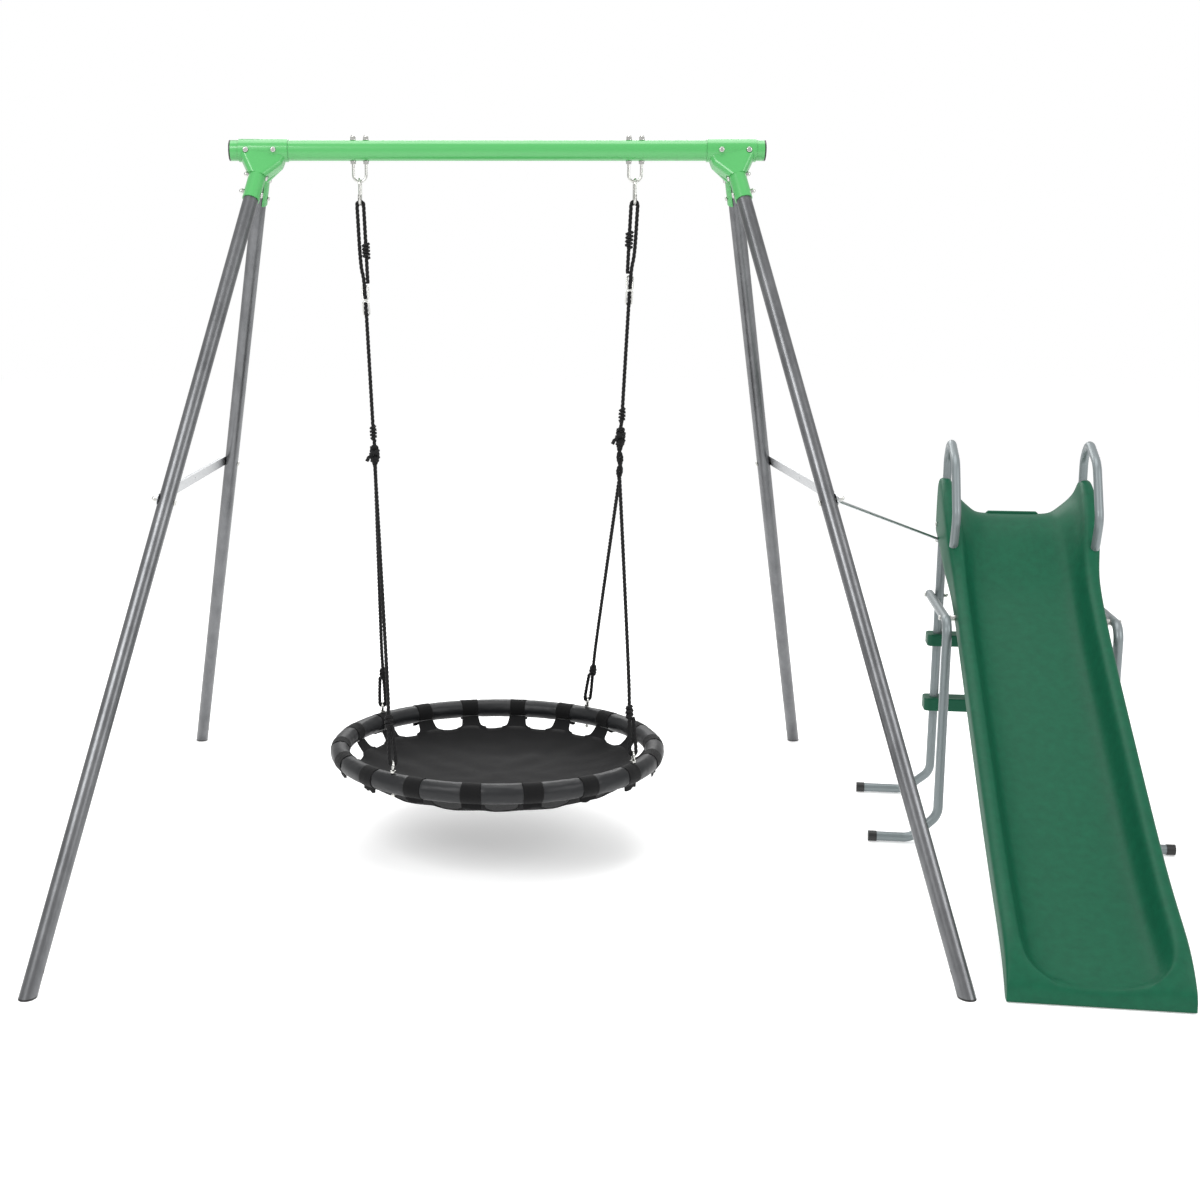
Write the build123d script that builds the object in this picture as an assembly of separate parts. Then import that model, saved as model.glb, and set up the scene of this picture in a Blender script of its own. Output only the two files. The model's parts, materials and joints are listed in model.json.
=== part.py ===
from build123d import *
from math import cos, degrees, hypot, radians, sin, tan
import os

# Garden swing set: an A-frame with a nest seat on two ropes, and a slide standing at its right side.
# Millimetres, +Z up, +X along the crossbeam towards the slide, -Y to the front.
# Everything is laid out from the middle of the crossbeam on the ground, then moved by ORIGIN_SHIFT.

# ---------------------------------------------------------------- driving dimensions
ORIGIN_SHIFT = (-477.646, 33.535)  # puts the origin under the middle of the whole object

BEAM_HEIGHT = 2030.0
BEAM_LENGTH = 1500.0
BEAM_RADIUS = 28.5
BEAM_WALL = 2.0
LEG_RADIUS = 21.0
LEG_WALL = 2.0
LEG_TOP_X = 656.0  # where the leg axes meet the beam axis
FOOT_X = 1106.0
FOOT_Y = 1130.0
FOOT_PAD = 4.0
BRACE_AT = 1084.0  # distances along a leg from the beam axis
LEG_JOINT_AT = 1118.0
LEG_START_AT = 62.0
ANCHOR_HEIGHT = 55.0

SHANK_RADIUS = 4.0  # M8 fasteners
HOLE_RADIUS = 4.3
NUT_FLATS = 13.0

SLEEVE_LENGTH = 138.0
SHEET = 3.0
SOCKET_END = 162.0
SOCKET_BOLTS = (86.0, 142.0)
BEAM_BOLT_X = (628.0, 705.0)

HANGER_X = 388.5
U_BOLT_HALF = 18.0
U_BOLT_BOTTOM = 1945.0
HOOK_WIRE = 4.0
HOOK_HALF_WIDTH = 18.0
HOOK_HEIGHT = 72.0
FIT = 0.3  # gap between curved faces that rest on each other

ROPE_RADIUS = 5.0
SEAT_ROPE_GAP = 5.0

RIM_Z = 292.0
RIM_CENTRE_RADIUS = 471.5
RIM_RADIUS = 28.5
RIM_TUBE_RADIUS = 13.0
STRAP_COUNT = 18
STRAP_FIRST = 41.5  # degrees
STRAP_WIDTH = 53.0
MAT_RADIUS = 390.0
MAT_EDGE_DROP = 38.0
MAT_SAG = 57.0
EYE_ANGLES = {"front_left": -128.0, "back_left": 141.0, "front_right": -35.0, "back_right": 52.0}

SLIDE_PLACE = (1566.5, -75.0)
SLIDE_YAW = -8.5
TUBE_RADIUS = 14.0
CHUTE_WALL = 6.0

SEAM = 33.0  # turns each round bar's seam line away from its cross holes

AXIS_X = Vector(1, 0, 0)
AXIS_Y = Vector(0, 1, 0)
AXIS_Z = Vector(0, 0, 1)

nodes = {}


def add(name, *shapes):
    """Keep one node: a single solid, or a group of separate ones."""
    nodes[name] = shapes[0] if len(shapes) == 1 else Compound(children=list(shapes))


def rod(start, end, radius):
    """A round bar from one point to another."""
    start, end = Vector(start), Vector(end)
    run = end - start
    bar = Cylinder(radius, run.length, align=(Align.CENTER, Align.CENTER, Align.MIN))
    return Plane(origin=start, z_dir=run) * Rot(0, 0, SEAM) * bar


def pipe(start, end, radius, wall):
    return rod(start, end, radius) - rod(start, end, radius - wall)


def swept(path, radius):
    """A round bar along a path."""
    return sweep(Plane(origin=path @ 0, z_dir=path % 0) * Rot(0, 0, SEAM) * Circle(radius), path)


def swept_pipe(path, radius, wall):
    section = Plane(origin=path @ 0, z_dir=path % 0) * Rot(0, 0, SEAM) * (Circle(radius) - Circle(radius - wall))
    return sweep(section, path)


def mirror_side(shape):
    return mirror(shape, about=Plane.YZ)


# ---------------------------------------------------------------- fasteners
def acorn_nut(seat, outward):
    """A domed nut whose flat face sits at the point seat."""
    flats = extrude(RegularPolygon(NUT_FLATS / 2, 6, major_radius=False), 7)
    dome = Pos(0, 0, 7) * (Sphere(6.2) & Pos(0, 0, 4) * Box(14, 14, 8))
    bore = Cylinder(SHANK_RADIUS + 0.1, 9.5, align=(Align.CENTER, Align.CENTER, Align.MIN))
    return Plane(origin=seat, z_dir=outward) * (flats + dome - bore)


def plain_nut(seat, outward):
    flats = extrude(RegularPolygon(NUT_FLATS / 2, 6, major_radius=False), 6.5)
    bore = Cylinder(SHANK_RADIUS + 0.1, 30)
    return Plane(origin=seat, z_dir=outward) * (flats - bore)


def washer(seat, outward, thickness=1.6, radius=8.5):
    ring = Circle(radius) - Circle(HOLE_RADIUS)
    return Plane(origin=seat, z_dir=outward) * extrude(ring, thickness)


def button_bolt(seat, tip):
    """A bolt with a low round head: seat is under the head, tip is the shank's far end."""
    seat, tip = Vector(seat), Vector(tip)
    head = Cylinder(7.5, 4.5, align=(Align.CENTER, Align.CENTER, Align.MAX))
    head = fillet(head.edges().group_by(Axis.Z)[0], 2.5)
    return Plane(origin=seat, z_dir=tip - seat) * head + rod(seat, tip, SHANK_RADIUS)


acorn_nuts = []
washers = []


# ---------------------------------------------------------------- crossbeam
beam_start = Vector(-BEAM_LENGTH / 2, 0, BEAM_HEIGHT)
beam_end = Vector(BEAM_LENGTH / 2, 0, BEAM_HEIGHT)
crossbeam = pipe(beam_start, beam_end, BEAM_RADIUS, BEAM_WALL)
for side in (-1, 1):
    for x in BEAM_BOLT_X:
        crossbeam -= Pos(side * x, 0, BEAM_HEIGHT) * Rot(90, 0, 0) * Cylinder(HOLE_RADIUS, 100)
    for offset in (-U_BOLT_HALF, U_BOLT_HALF):
        crossbeam -= Pos(side * HANGER_X + offset, 0, BEAM_HEIGHT) * Cylinder(HOLE_RADIUS, 100)
add("crossbeam", crossbeam)

end_caps = []
for side in (-1, 1):
    face = Vector(side * BEAM_LENGTH / 2, 0, BEAM_HEIGHT)
    plate = rod(face, face + AXIS_X * side * 4, BEAM_RADIUS)
    plug = rod(face, face - AXIS_X * side * 18, BEAM_RADIUS - BEAM_WALL - 0.3)
    end_caps.append(plate + plug)
add("beam_end_caps", *end_caps)


# ---------------------------------------------------------------- leg axes
class Leg:
    """One leg's axis, from the beam axis down to the ground."""

    def __init__(self, side, front):
        self.side = side
        self.front = front
        self.top = Vector(side * LEG_TOP_X, 0, BEAM_HEIGHT)
        foot = Vector(side * FOOT_X, -FOOT_Y if front else FOOT_Y, 0)
        run = foot - self.top
        self.length = run.length
        self.along = run.normalized()
        # outward is square to both legs of the A-frame; inboard points at the other leg
        slope = Vector(side * (FOOT_X - LEG_TOP_X), 0, -BEAM_HEIGHT)
        self.outward = (slope.cross(AXIS_Y) * -side).normalized()
        if self.outward.X * side < 0:
            self.outward = self.outward * -1
        self.inboard = self.along.cross(self.outward).normalized()
        if self.inboard.Y * (1 if front else -1) < 0:
            self.inboard = self.inboard * -1

    def at(self, distance):
        return self.top + self.along * distance

    def across(self, distance, radius, reach=120):
        """A cutter along the bolt direction."""
        middle = self.at(distance)
        return rod(middle - self.outward * reach, middle + self.outward * reach, radius)


LEGS = {
    "front_left": Leg(-1, True),
    "back_left": Leg(-1, False),
    "front_right": Leg(1, True),
    "back_right": Leg(1, False),
}


# ---------------------------------------------------------------- corner brackets
def gusset(leg, inset, depth):
    """The neck between the sleeve and the socket, as a tapering block with rounded sides."""
    top, low = SLEEVE_LENGTH / 2 - 4 - inset, depth - inset + 0.3
    outline = Polyline((-top, 0), (top, 0), (top - 6, 34), (low, 82), (-low, 82), (-top + 6, 34), close=True)
    plane = Plane(origin=leg.at(4), x_dir=leg.outward, z_dir=leg.inboard)
    if plane.y_dir.dot(leg.along) < 0:
        plane = Plane(origin=leg.at(4), x_dir=leg.outward, z_dir=leg.inboard * -1)
    block = extrude(make_face(outline), depth - inset, both=True)
    sides = [e for e in block.edges() if abs(e.center().X) > 10 and abs(e.center().Z) > 1 and 1 < e.center().Y < 81]
    return plane * fillet(sides, 15 - inset)


sleeve_face = BEAM_RADIUS + 0.1 + SHEET
socket_face = LEG_RADIUS + 0.3 + SHEET
HEAD_SPACE = 9.0


def bracket_shell(leg):
    """Half of a corner bracket: a half sleeve on the beam, a tapering neck and a leg socket."""
    middle = Vector(leg.side * (LEG_TOP_X + 2), 0, BEAM_HEIGHT)
    half = AXIS_X * (SLEEVE_LENGTH / 2)
    sleeve = rod(middle - half, middle + half, BEAM_RADIUS + 0.1 + SHEET)
    socket_radius = LEG_RADIUS + 0.3 + SHEET
    neck = gusset(leg, 0.0, socket_radius)
    hollow = gusset(leg, SHEET, socket_radius)
    socket = rod(leg.at(73), leg.at(SOCKET_END), socket_radius)
    shell = sleeve + neck + socket
    shell -= rod(middle - half * 2, middle + half * 2, BEAM_RADIUS + 0.1)
    shell -= hollow
    shell -= rod(leg.at(40), leg.at(SOCKET_END + 20), LEG_RADIUS + 0.3)
    # the socket is open along the side that faces the other leg
    slot = Plane(origin=leg.at(84), x_dir=leg.outward, z_dir=leg.along) * Box(
        26, 80, 120, align=(Align.CENTER, Align.MIN, Align.MIN)
    )
    if (slot.center() - leg.at(144)).dot(leg.inboard) < 0:
        slot = Plane(origin=leg.at(84), x_dir=leg.outward, z_dir=leg.along) * Box(
            26, 80, 120, align=(Align.CENTER, Align.MAX, Align.MIN)
        )
    shell -= slot
    facing = -1 if leg.front else 1
    keep = Pos(middle.X, facing * (0.5 + 150), BEAM_HEIGHT) * Box(500, 300, 600)
    shell = shell & keep
    # bolt holes, with a flat clear space round each bolt head and nut
    for x in BEAM_BOLT_X:
        place = Vector(leg.side * x, 0, BEAM_HEIGHT)
        shell -= rod(place - AXIS_Y * 100, place + AXIS_Y * 100, HOLE_RADIUS)
        shell -= rod(place + AXIS_Y * facing * sleeve_face, place + AXIS_Y * facing * 100, HEAD_SPACE)
    for distance in SOCKET_BOLTS:
        shell -= leg.across(distance, HOLE_RADIUS)
        for way in (-1, 1):
            outward = leg.outward * way
            face = leg.at(distance) + outward * (socket_face + 0.05)
            shell -= rod(face, face + outward * 60, HEAD_SPACE)
    return shell


for side_name in ("left", "right"):
    for face_name in ("front", "back"):
        add(f"{side_name}_bracket_{face_name}", bracket_shell(LEGS[f"{face_name}_{side_name}"]))

beam_bolts = []
for side in (-1, 1):
    for x in BEAM_BOLT_X:
        place = Vector(side * x, 0, BEAM_HEIGHT)
        beam_bolts.append(button_bolt(place - AXIS_Y * (sleeve_face + 0.1), place + AXIS_Y * (sleeve_face + 8)))
        acorn_nuts.append(acorn_nut(place + AXIS_Y * (sleeve_face + 0.1), AXIS_Y))
add("beam_bolts", *beam_bolts)

socket_bolts = []
for leg in LEGS.values():
    for distance in SOCKET_BOLTS:
        middle = leg.at(distance)
        seat = middle - leg.outward * (socket_face + 0.2)
        socket_bolts.append(button_bolt(seat, middle + leg.outward * (socket_face + 8)))
        acorn_nuts.append(acorn_nut(middle + leg.outward * (socket_face + 0.2), leg.outward))
add("socket_bolts", *socket_bolts)


# ---------------------------------------------------------------- legs and feet
def floor_slab(low, high):
    """A slab of space between two heights, used to trim the feet."""
    return Pos(0, 0, (low + high) / 2) * Box(6000, 6000, high - low)


foot_caps = []
anchor_at = {}
for name, leg in LEGS.items():
    upper = pipe(leg.at(LEG_START_AT), leg.at(LEG_JOINT_AT), LEG_RADIUS, LEG_WALL)
    for distance in SOCKET_BOLTS:
        upper -= leg.across(distance, HOLE_RADIUS)
    upper -= leg.across(BRACE_AT, HOLE_RADIUS)
    add(f"{name}_leg_upper", upper)

    beyond = leg.length + 60
    lower = pipe(leg.at(LEG_JOINT_AT + 0.1), leg.at(beyond), LEG_RADIUS, LEG_WALL + 1)
    lower += pipe(leg.at(LEG_JOINT_AT - 100), leg.at(LEG_JOINT_AT + 2), LEG_RADIUS - LEG_WALL - 0.2, LEG_WALL - 0.5)
    lower -= floor_slab(-100, FOOT_PAD)
    lower -= leg.across(BRACE_AT, HOLE_RADIUS)
    anchor_at[name] = (BEAM_HEIGHT - ANCHOR_HEIGHT) / BEAM_HEIGHT * leg.length
    lower -= leg.across(anchor_at[name], 5.0, 60)
    add(f"{name}_leg_lower", lower)

    pad = rod(leg.at(leg.length - 60), leg.at(beyond), LEG_RADIUS) & floor_slab(0, FOOT_PAD)
    plug_radius = LEG_RADIUS - LEG_WALL - 1.3
    plug = rod(leg.at(leg.length - 60), leg.at(beyond), plug_radius) & floor_slab(FOOT_PAD, 24)
    foot_caps.append(pad + plug)
add("leg_foot_caps", *foot_caps)


# ---------------------------------------------------------------- side braces
def side_brace(side):
    """A folded bar with flattened ends, bolted on the outer side of both legs."""
    front = LEGS["front_left" if side < 0 else "front_right"]
    back = LEGS["back_left" if side < 0 else "back_right"]
    middle = (front.at(BRACE_AT) + back.at(BRACE_AT)) * 0.5 + front.outward * (LEG_RADIUS + 0.1)
    span = (back.at(BRACE_AT) - front.at(BRACE_AT)).length
    plane = Plane(origin=middle, x_dir=AXIS_Y, z_dir=front.outward)
    flat = extrude(SlotOverall(span + 30, 30), 2.5)
    for end in (-1, 1):
        flat -= Pos(end * span / 2, 0, 0) * Cylinder(HOLE_RADIUS, 20)
    flat -= Cylinder(3.0, 20)
    lips = []
    for edge in (-1, 1):
        lip = Pos(0, edge * 12.5, 0) * extrude(Rectangle(span - 130, 2.5), 11)
        lips.append(lip)
    return plane * (flat + lips[0] + lips[1])


add("side_braces", side_brace(-1), side_brace(1))

TIE_PLATE = 4.0
brace_bolts = []
for leg in LEGS.values():
    middle = leg.at(BRACE_AT)
    outer = LEG_RADIUS + 0.1 + 2.5 + 0.1
    # the tie rod's flat end sits under this nut on the front right leg
    packing = TIE_PLATE + 0.2 if leg is LEGS["front_right"] else 0.0
    seat = middle - leg.outward * (LEG_RADIUS + 0.2)
    brace_bolts.append(button_bolt(seat, middle + leg.outward * (outer + 1.8 + packing + 8)))
    washers.append(washer(middle + leg.outward * outer, leg.outward))
    acorn_nuts.append(acorn_nut(middle + leg.outward * (outer + 1.7 + packing), leg.outward))
add("brace_bolts", *brace_bolts)


# ---------------------------------------------------------------- hangers
lock_nuts = []
u_bolts = []
for side in (-1, 1):
    x = side * HANGER_X
    top = BEAM_HEIGHT + BEAM_RADIUS + 11
    path = FilletPolyline(
        (x - U_BOLT_HALF, 0, top),
        (x - U_BOLT_HALF, 0, U_BOLT_BOTTOM),
        (x + U_BOLT_HALF, 0, U_BOLT_BOTTOM),
        (x + U_BOLT_HALF, 0, top),
        radius=U_BOLT_HALF - 0.2,
    )
    u_bolts.append(swept(path, SHANK_RADIUS))
    for offset in (-U_BOLT_HALF, U_BOLT_HALF):
        above = Vector(x + offset, 0, BEAM_HEIGHT + BEAM_RADIUS + 0.1)
        below = Vector(x + offset, 0, BEAM_HEIGHT - BEAM_RADIUS - 0.1)
        washers.append(washer(above, AXIS_Z))
        washers.append(washer(below, -AXIS_Z))
        acorn_nuts.append(acorn_nut(above + AXIS_Z * 1.7, AXIS_Z))
        lock_nuts.append(plain_nut(below - AXIS_Z * 1.7, -AXIS_Z))
add("u_bolts", *u_bolts)
add("u_bolt_lock_nuts", *lock_nuts)

hook_top = U_BOLT_BOTTOM + SHANK_RADIUS + HOOK_WIRE + FIT
hook_bottom = hook_top - HOOK_HEIGHT
gate_low = hook_bottom + HOOK_HALF_WIDTH + 1
gate_high = hook_top - HOOK_HALF_WIDTH - 1
gate_pivot_z = gate_low + 4.0
GATE_WIRE = 3.5


def snap_hook(x):
    """An oval wire hook in the Y-Z plane, open along its front side where the gate sits."""
    wide = HOOK_HALF_WIDTH
    path = FilletPolyline(
        (x, -wide, gate_high),
        (x, -wide, hook_top),
        (x, wide, hook_top),
        (x, wide, hook_bottom),
        (x, -wide, hook_bottom),
        (x, -wide, gate_low),
        radius=wide - 0.2,
    )
    body = swept(path, HOOK_WIRE)
    for cheek_side in (-1, 1):
        cheek = Pos(x + cheek_side * 4.3, -wide, gate_pivot_z - 4) * Box(1.2, 7.5, 16)
        body += cheek
    return body + rod((x - 5, -wide, gate_pivot_z), (x + 5, -wide, gate_pivot_z), 1.5)


def hook_gate(x):
    pivot = Vector(x, -HOOK_HALF_WIDTH, gate_pivot_z)
    bar = rod(pivot, Vector(x, -HOOK_HALF_WIDTH, gate_high - 0.6), GATE_WIRE)
    knuckle = Pos(*pivot) * Sphere(GATE_WIRE)
    return bar + knuckle - rod(pivot - AXIS_X * 6, pivot + AXIS_X * 6, 1.55)


for side, side_name in ((-1, "left"), (1, "right")):
    add(f"{side_name}_snap_hook", snap_hook(side * HANGER_X))
    add(f"{side_name}_hook_gate", hook_gate(side * HANGER_X))


# ---------------------------------------------------------------- ropes
def rope_tube(points):
    """A rope along straight runs joined by tangent arcs, each as wide as its shorter run allows."""
    points = [Vector(*p) for p in points]
    radii = []
    for i in range(1, len(points) - 1):
        before = points[i] - points[i - 1]
        after = points[i + 1] - points[i]
        turn = radians(before.get_angle(after))
        radii.append(0.45 * min(before.length, after.length) / tan(turn / 2))
    return swept(FilletPolyline(*points, radius=radii), ROPE_RADIUS)


def turn_round(radius):
    """Corners of a half turn round a wire, as (sideways, down) pairs."""
    short = radius * tan(radians(22.5))
    left = [(-radius, short), (-radius, -short), (-short, -radius)]
    return left + [(-o, s) for o, s in reversed(left)]


def knot(low, high, radius, soft=5.0):
    """A wound knot as a plain round-ended barrel."""
    low, high = Vector(low), Vector(high)
    length = (high - low).length
    barrel = Cylinder(radius, length, align=(Align.CENTER, Align.CENTER, Align.MIN))
    barrel = fillet(barrel.edges(), soft)
    return Plane(origin=low, z_dir=high - low) * barrel


# Each main rope is laid out in a frame of its own: o is sideways, s runs down the rope from the
# middle of the snap hook's bottom wire. The ropes lean in towards the seat.
ROPES = {
    "left": {"side": -1, "link": (-359.5, 1207.0), "coil": 128.0, "adjuster": (245.0, 290.0), "barrel": (626.0, 669.0)},
    "right": {"side": 1, "link": (360.5, 1258.0), "coil": 97.0, "adjuster": (217.0, 259.0), "barrel": (577.0, 618.0)},
}
HOOK_TURN = HOOK_WIRE + ROPE_RADIUS + FIT
COIL_LENGTH = 46.0
COIL_RADIUS = 12.5
ADJUSTER_WIRE = 2.5
ADJUSTER_HALF_HEIGHT = 22.0
ADJUSTER_HALF_WIDTH = 8.4


def adjuster(place, upper, lower):
    """A figure-of-eight wire: two long rings joined in front of the rope, their far ends behind it."""
    rings = []
    for centre, lean in ((upper, 1), (lower, -1)):
        height, width = ADJUSTER_HALF_HEIGHT, ADJUSTER_HALF_WIDTH
        straight = height - width
        loop = Wire(
            [
                Line((-width, -straight), (-width, straight)).edge(),
                ThreePointArc((-width, straight), (0, height), (width, straight)).edge(),
                Line((width, straight), (width, -straight)).edge(),
                ThreePointArc((width, -straight), (0, -height), (-width, -straight)).edge(),
            ]
        )
        ring = sweep(Plane(origin=(-width, 0, 0), z_dir=(0, 1, 0)) * Circle(ADJUSTER_WIRE), loop)
        # the loop's long way is its local Y; stand it up and lean it across the rope
        rings.append(place * Pos(0, 0, -centre) * Rot(90 - lean * 21.0, 0, 0) * ring)
    return rings[0] + rings[1]


for side_name, rope in ROPES.items():
    side = rope["side"]
    anchor = Vector(side * HANGER_X, 0, hook_bottom)
    link = Vector(rope["link"][0], 0, rope["link"][1])
    down = (link - anchor).normalized()
    across = Vector(-down.Z, 0, down.X)
    frame_of_rope = Plane(origin=anchor, x_dir=across, z_dir=-down)

    def on_rope(o, s, y=0.0):
        return tuple(anchor + across * o + down * s + AXIS_Y * y)

    inward = -side
    tail = HOOK_TURN * inward
    barrel_low, barrel_high = rope["barrel"][1], rope["barrel"][0]
    upper_ring, lower_ring = rope["adjuster"]
    ring_top = upper_ring - ADJUSTER_HALF_HEIGHT
    route = [
        on_rope(0, barrel_low - 2),
        on_rope(0, lower_ring + 60),
        on_rope(-tail * 0.1, upper_ring - 40),
        on_rope(-tail * 0.97, rope["coil"] + 45),
        *[on_rope(o * inward, s) for o, s in turn_round(HOOK_TURN)],
        on_rope(tail * 0.97, rope["coil"] + 45),
        on_rope(tail * 0.92, ring_top - 4),
    ]
    add(f"{side_name}_main_rope", rope_tube(route))
    half_coil = COIL_LENGTH / 2
    coil_centre = tail + 0.3 * inward
    add(
        f"{side_name}_rope_knots",
        knot(on_rope(coil_centre, rope["coil"] + half_coil), on_rope(coil_centre, rope["coil"] - half_coil), COIL_RADIUS),
        knot(on_rope(0, barrel_low), on_rope(0, barrel_high), 11.5),
    )
    add(f"{side_name}_rope_adjuster", adjuster(frame_of_rope.location, upper_ring, lower_ring))

# The knots where each main rope takes the two seat ropes.
SEAT_KNOTS = {"left": (-357.0, 1146.0, 1202.0), "right": (357.0, 1108.0, 1253.0)}
left_x, left_low, left_high = SEAT_KNOTS["left"]
add("left_seat_knot", knot((left_x, 0, left_low), (left_x - 2, 0, left_high), 17.0, 12.0))
right_x, right_low, right_high = SEAT_KNOTS["right"]
twist_top = 1196.0
add(
    "right_seat_knot",
    knot((right_x, 0, twist_top - 6), (right_x + 2, 0, right_high), 17.0, 12.0)
    + knot((right_x, 0, right_low), (right_x, 0, twist_top), 11.5),
)

# ---------------------------------------------------------------- nest seat
EYE_RADIUS = 12.0
EYE_WIRE = 3.5
COLLAR_BOTTOM = 31.2
eye_turn = EYE_WIRE + ROPE_RADIUS + FIT
eye_bolts = []
eye_holes = []
seat_rope_knots = []
KNOT_ABOVE_EYE = 112.0
for name, angle in EYE_ANGLES.items():
    side_name = name.split("_")[1]
    knot_x, knot_low, _ = SEAT_KNOTS[side_name]
    radial = Vector(cos(radians(angle)), sin(radians(angle)), 0)
    seat_point = radial * RIM_CENTRE_RADIUS + AXIS_Z * RIM_Z
    eye = seat_point + AXIS_Z * (COLLAR_BOTTOM + 4 + EYE_RADIUS + EYE_WIRE - 1)
    away = -1 if name.startswith("front") else 1
    rope_top = Vector(knot_x, away * 5.6, knot_low - SEAT_ROPE_GAP)
    pull = (rope_top - eye).normalized()
    level = Vector(pull.X, pull.Y, 0).normalized()
    hole_axis = level.cross(AXIS_Z)
    wire = eye + pull * EYE_RADIUS
    ring = Plane(origin=eye, x_dir=level, z_dir=hole_axis) * Torus(EYE_RADIUS, EYE_WIRE)
    collar = rod(seat_point + AXIS_Z * COLLAR_BOTTOM, seat_point + AXIS_Z * (COLLAR_BOTTOM + 5), 8.0)
    shank = rod(seat_point - AXIS_Z * 40, seat_point + AXIS_Z * (COLLAR_BOTTOM + 1), 3.4)
    nut_plane = Plane(origin=seat_point - AXIS_Z * 37.6, z_dir=AXIS_Z)
    nut = nut_plane * (extrude(RegularPolygon(5.5, 6, major_radius=False), 5))
    eye_bolts.append(ring + collar + shank + nut)
    eye_holes.append(rod(seat_point - AXIS_Z * 60, seat_point + AXIS_Z * 60, 3.8))

    def on_loop(o, q):
        return tuple(wire + hole_axis * o + pull * q)

    route = [
        tuple(rope_top),
        on_loop(-0.5, 240.0),
        on_loop(-4.5, KNOT_ABOVE_EYE),
        on_loop(-eye_turn * 0.97, 40.0),
        *[on_loop(o, s) for o, s in turn_round(eye_turn)],
        on_loop(eye_turn * 0.97, 40.0),
        on_loop(5.8, KNOT_ABOVE_EYE - 14),
    ]
    add(f"{name}_seat_rope", rope_tube(route))
    seat_rope_knots.append(knot(on_loop(0, KNOT_ABOVE_EYE - 21), on_loop(0, KNOT_ABOVE_EYE + 21), 12.5))
add("seat_rope_knots", *seat_rope_knots)
add("seat_eye_bolts", *eye_bolts)

rim_place = Pos(0, 0, RIM_Z)
rim_tube = rim_place * (
    Torus(RIM_CENTRE_RADIUS, RIM_TUBE_RADIUS) - Torus(RIM_CENTRE_RADIUS, RIM_TUBE_RADIUS - 1.5)
)
rim_sleeve = rim_place * (Torus(RIM_CENTRE_RADIUS, RIM_RADIUS) - Torus(RIM_CENTRE_RADIUS, RIM_TUBE_RADIUS + 0.3))
add("rim_tube", rim_tube)
add("rim_sleeve", rim_sleeve)


def mat_height(radius):
    """Height of the mat's middle surface at a radius, measured from the rim's centre."""
    return -MAT_EDGE_DROP - MAT_SAG * (1 - (radius / MAT_RADIUS) ** 2)


MAT_THICK = 3.0
edge_z = mat_height(MAT_RADIUS)
dish_radius = (MAT_RADIUS**2 + MAT_SAG**2) / (2 * MAT_SAG)
dish = Sphere(dish_radius + MAT_THICK / 2) - Sphere(dish_radius - MAT_THICK / 2)
mat = Pos(0, 0, mat_height(0) + dish_radius) * dish & Pos(0, 0, mat_height(0)) * Cylinder(MAT_RADIUS, 150)
add("seat_mat", rim_place * mat)

# each strap is a sleeve round the rim with a tab that reaches in to the mat
wrap = Rot(90, 0, 0) * Pos(RIM_CENTRE_RADIUS, 0, 0) * (
    Cylinder(RIM_RADIUS + 2.3, STRAP_WIDTH) - Cylinder(RIM_RADIUS + 0.8, STRAP_WIDTH + 2)
)
tab_top = (RIM_CENTRE_RADIUS - (RIM_RADIUS + 1.6) * cos(radians(38)), -(RIM_RADIUS + 1.6) * sin(radians(38)))
tab_run = Vector(tab_top[0] - MAT_RADIUS - 2, 0, tab_top[1] - edge_z)
tab_plane = Plane(origin=(MAT_RADIUS + 2, 0, edge_z), x_dir=tab_run, z_dir=tab_run.cross(AXIS_Y) * -1)
tab = tab_plane * Pos(tab_run.length / 2, 0, 0) * Box(tab_run.length, STRAP_WIDTH, 1.8)
strap = wrap + tab
straps = []
for k in range(STRAP_COUNT):
    turned = rim_place * Rot(0, 0, STRAP_FIRST + k * 360 / STRAP_COUNT) * strap
    for hole in eye_holes:
        if (hole.center() - turned.center()).length < 150:
            turned -= hole
    straps.append(turned)
add("seat_straps", *straps)

# ---------------------------------------------------------------- slide
# The slide has a frame of its own: X to its right, Y up the ladder side, Z up.
# Its foot lies in front (-Y) and the origin is between its two front feet.
slide_frame = Pos(SLIDE_PLACE[0], SLIDE_PLACE[1], 0) * Rot(0, 0, SLIDE_YAW)

PLATFORM_Z = 950.0
PLATFORM_BACK = 478.0
FLOOR_HALF = 142.0
WALL_TOP_HALF = 172.0
FLANGE_HALF = 210.0
WALL_RISE = 72.0
SKIRT = 56.0
EXIT_Y = -1122.0
EXIT_Z = 34.0
EAR_TOP = 1062.0
EAR_MIDDLE = 213.0
EAR_HALF = 21.0
HANDRAIL_RADIUS = 13.0
HANDRAIL_X = 207.0
RAIL_X = 213.0
RAIL_TOP = (440.0, 945.0)
RAIL_BEND = (470.0, 90.0)
RAIL_SPLIT_Z = 655.0
TUBE_WALL = 1.5
SUPPORT_X = 242.0
SUPPORT_TOP_Z = 684.0
SUPPORT_SPLIT_Z = 290.0
CHUTE_BOLT_Y = 62.0
TIE_BOLT_Z = 864.0
EAR_BOLT_Z = 915.0
FOOT_TIP_X = 441.5
FOOT_AXIS_Z = TUBE_RADIUS + 1.8
STEP_DEPTH = 76.0
STEP_HALF = 247.0

chute_path = FilletPolyline(
    (0, PLATFORM_BACK, PLATFORM_Z),
    (0, 385, PLATFORM_Z),
    (0, 150, 690),
    (0, -860, 118),
    (0, EXIT_Y, EXIT_Z),
    radius=[100, 420, 300],
)


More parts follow.
